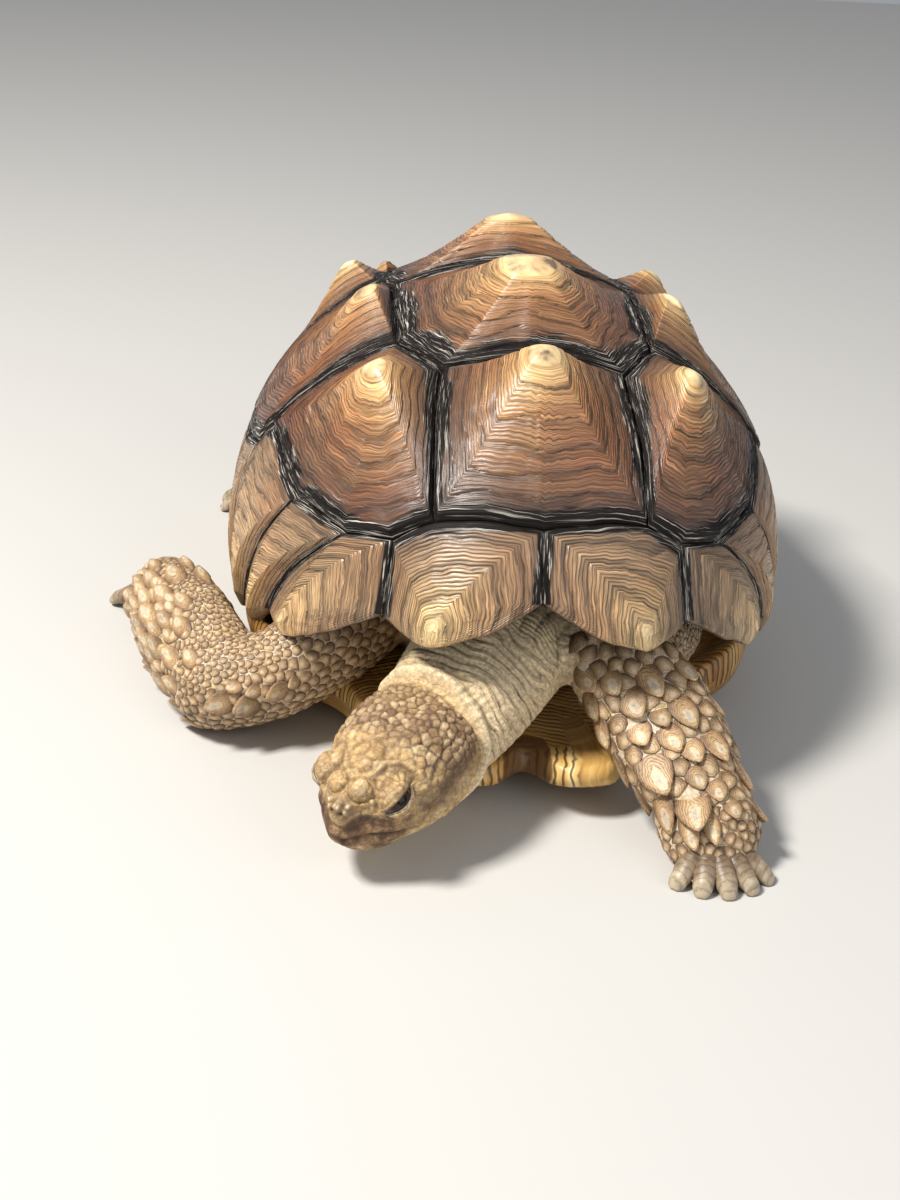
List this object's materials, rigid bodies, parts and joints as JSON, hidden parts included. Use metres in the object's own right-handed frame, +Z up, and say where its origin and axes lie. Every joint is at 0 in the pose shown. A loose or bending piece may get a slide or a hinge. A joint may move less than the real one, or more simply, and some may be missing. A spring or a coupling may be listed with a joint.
{
  "type": "tortoise",
  "caption": "Life-size African spurred tortoise lying on its plastron: steep knobbly plated shell, lowered head turned aside, one foreleg reaching forward, the other swept back.",
  "frame": {"origin": "middle of the plastron's flat underside, on the floor, below the middle of the shell", "axes": "+Z up, head end towards -Y, the animal's left side +X"},
  "size_m": [0.4601, 0.5927, 0.2823],
  "materials": {
    "shell_horn": "ridged, dull",
    "plastron_horn": "worn satin",
    "skin": "dry, scaly",
    "eye": "wet gloss"
  },
  "bodies": {
    "root": {"costal_1_left": "shell_horn", "costal_1_right": "shell_horn", "costal_2_left": "shell_horn", "costal_2_right": "shell_horn", "costal_3_left": "shell_horn", "costal_3_right": "shell_horn", "costal_4_left": "shell_horn", "costal_4_right": "shell_horn", "eye_left": "eye", "eye_right": "eye", "forearm_left": "skin", "forearm_right": "skin", "forefoot_left": "skin", "forefoot_right": "skin", "head": "skin", "hind_foot_left": "skin", "hind_foot_right": "skin", "lower_jaw": "skin", "marginal_10_left": "shell_horn", "marginal_10_right": "shell_horn", "marginal_11_left": "shell_horn", "marginal_11_right": "shell_horn", "marginal_1_left": "shell_horn", "marginal_1_right": "shell_horn", "marginal_2_left": "shell_horn", "marginal_2_right": "shell_horn", "marginal_3_left": "shell_horn", "marginal_3_right": "shell_horn", "marginal_4_left": "shell_horn", "marginal_4_right": "shell_horn", "marginal_5_left": "shell_horn", "marginal_5_right": "shell_horn", "marginal_6_left": "shell_horn", "marginal_6_right": "shell_horn", "marginal_7_left": "shell_horn", "marginal_7_right": "shell_horn", "marginal_8_left": "shell_horn", "marginal_8_right": "shell_horn", "marginal_9_left": "shell_horn", "marginal_9_right": "shell_horn", "neck": "skin", "plastron": "plastron_horn", "supracaudal": "shell_horn", "tail": "skin", "thigh_left": "skin", "thigh_right": "skin", "trunk": "skin", "upper_arm_left": "skin", "upper_arm_right": "skin", "vertebral_1": "shell_horn", "vertebral_2": "shell_horn", "vertebral_3": "shell_horn", "vertebral_4": "shell_horn", "vertebral_5": "shell_horn"}
  },
  "joints": []
}
